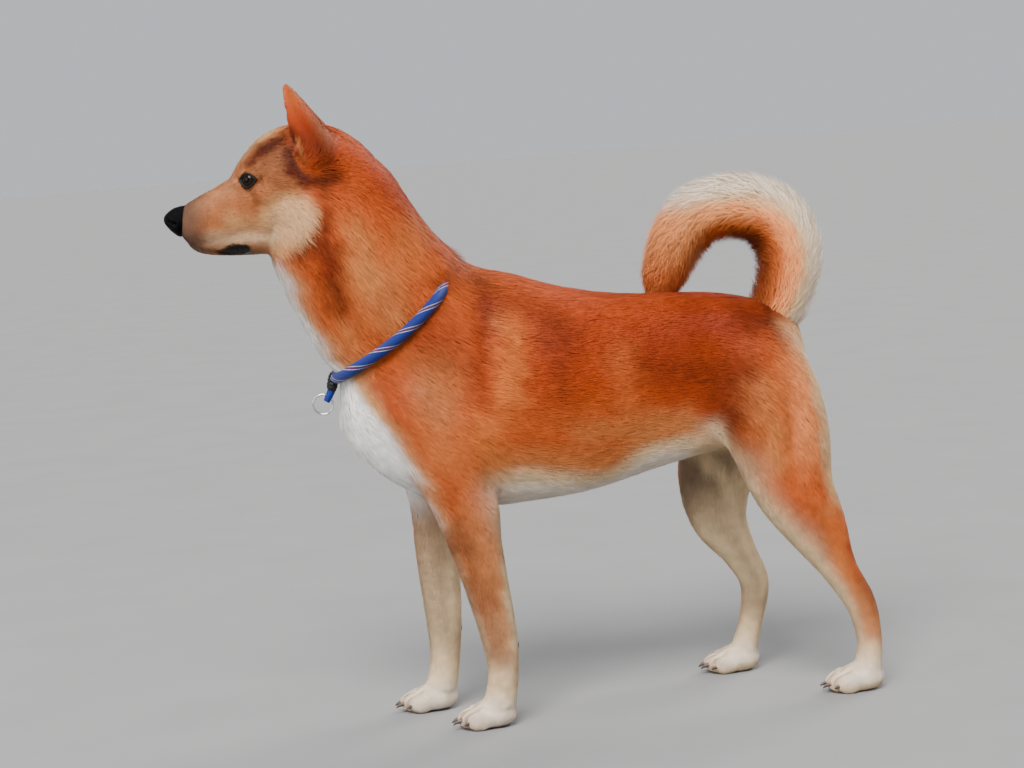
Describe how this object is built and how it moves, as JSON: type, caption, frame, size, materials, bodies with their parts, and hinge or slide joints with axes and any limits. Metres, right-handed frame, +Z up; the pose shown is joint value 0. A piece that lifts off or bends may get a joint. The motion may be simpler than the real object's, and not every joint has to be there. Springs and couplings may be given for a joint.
{
  "type": "dog",
  "caption": "Life-size standing dog with pricked ears, a tail curled over its back and a narrow cord collar with a ring.",
  "frame": {"origin": "on the floor, under the middle of the standing dog's box", "axes": "-X is the way the dog faces, -Y is its left side, +Z is up; the floor is z = 0"},
  "size_m": [0.8108, 0.2131, 0.7777],
  "materials": {
    "coat_red": "dense fur, orange red",
    "coat_tan": "short fur, light tan",
    "coat_cream": "short fur, cream",
    "nose_leather": "moist, pebbled",
    "eye_brown": "wet gloss",
    "claw_horn": "satin horn",
    "collar_blue": "woven cord with thin spiral stripes",
    "collar_black": "satin",
    "ring_steel": "bright wire"
  },
  "bodies": {
    "root": {"head": "coat_tan", "neck": "coat_red", "chest": "coat_red", "abdomen": "coat_red", "pelvis": "coat_red", "shoulder_left": "coat_red", "shoulder_right": "coat_red", "forearm_left": "coat_tan", "forearm_right": "coat_tan", "forefoot_left": "coat_cream", "forefoot_right": "coat_cream", "thigh_left": "coat_red", "thigh_right": "coat_red", "lower_leg_left": "coat_tan", "lower_leg_right": "coat_tan", "hindfoot_left": "coat_cream", "hindfoot_right": "coat_cream", "tail_root": "coat_red", "tail_rise": "coat_red", "tail_crown": "coat_tan", "tail_fall": "coat_red", "ear_left": "coat_red", "ear_right": "coat_red", "eye_left": "eye_brown", "eye_right": "eye_brown", "nose": "nose_leather", "claw_fore_left_1": "claw_horn", "claw_fore_left_2": "claw_horn", "claw_fore_left_3": "claw_horn", "claw_fore_left_4": "claw_horn", "claw_fore_right_1": "claw_horn", "claw_fore_right_2": "claw_horn", "claw_fore_right_3": "claw_horn", "claw_fore_right_4": "claw_horn", "claw_hind_left_1": "claw_horn", "claw_hind_left_2": "claw_horn", "claw_hind_left_3": "claw_horn", "claw_hind_left_4": "claw_horn", "claw_hind_right_1": "claw_horn", "claw_hind_right_2": "claw_horn", "claw_hind_right_3": "claw_horn", "claw_hind_right_4": "claw_horn", "collar": "collar_blue", "collar_stop": "collar_black", "collar_tab": "collar_blue", "collar_ring": "ring_steel"}
  },
  "joints": []
}
